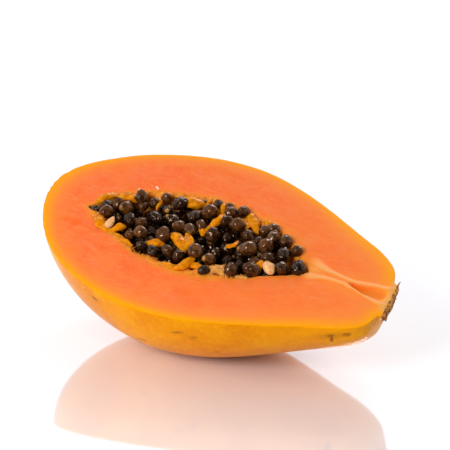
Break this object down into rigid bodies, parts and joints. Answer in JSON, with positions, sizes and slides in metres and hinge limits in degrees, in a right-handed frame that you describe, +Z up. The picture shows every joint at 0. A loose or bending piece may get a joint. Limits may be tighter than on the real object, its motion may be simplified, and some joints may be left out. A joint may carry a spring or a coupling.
{
  "type": "halved papaya",
  "caption": "Half of a ripe papaya cut lengthwise, lying on its skin, with a cavity full of round dark seeds.",
  "frame": {"origin": "middle of the small flat resting spot on the underside, on the surface that the half fruit lies on", "axes": "+X towards the stem end, +Y towards the raised far rim, away from the side that the cut face leans to, +Z up"},
  "size_m": [0.1863, 0.108, 0.0765],
  "materials": {
    "fruit": "moist salmon-orange flesh with a yellow-orange rind; satin yellow skin outside",
    "seeds": "wet dark brown seeds in a thin clear jelly",
    "stem_crust": "dry ragged corky crust",
    "placenta_pulp": "moist yellow-orange fibrous pulp",
    "pale_seed": "waxy cream undeveloped seed"
  },
  "bodies": {
    "root": {"fruit": "fruit", "seeds": "seeds", "stem_scar": "stem_crust", "pulp_strand_1": "placenta_pulp", "pulp_strand_2": "placenta_pulp", "pulp_strand_3": "placenta_pulp", "pulp_strand_4": "placenta_pulp", "pale_seed_1": "pale_seed", "pale_seed_2": "pale_seed"}
  },
  "joints": []
}
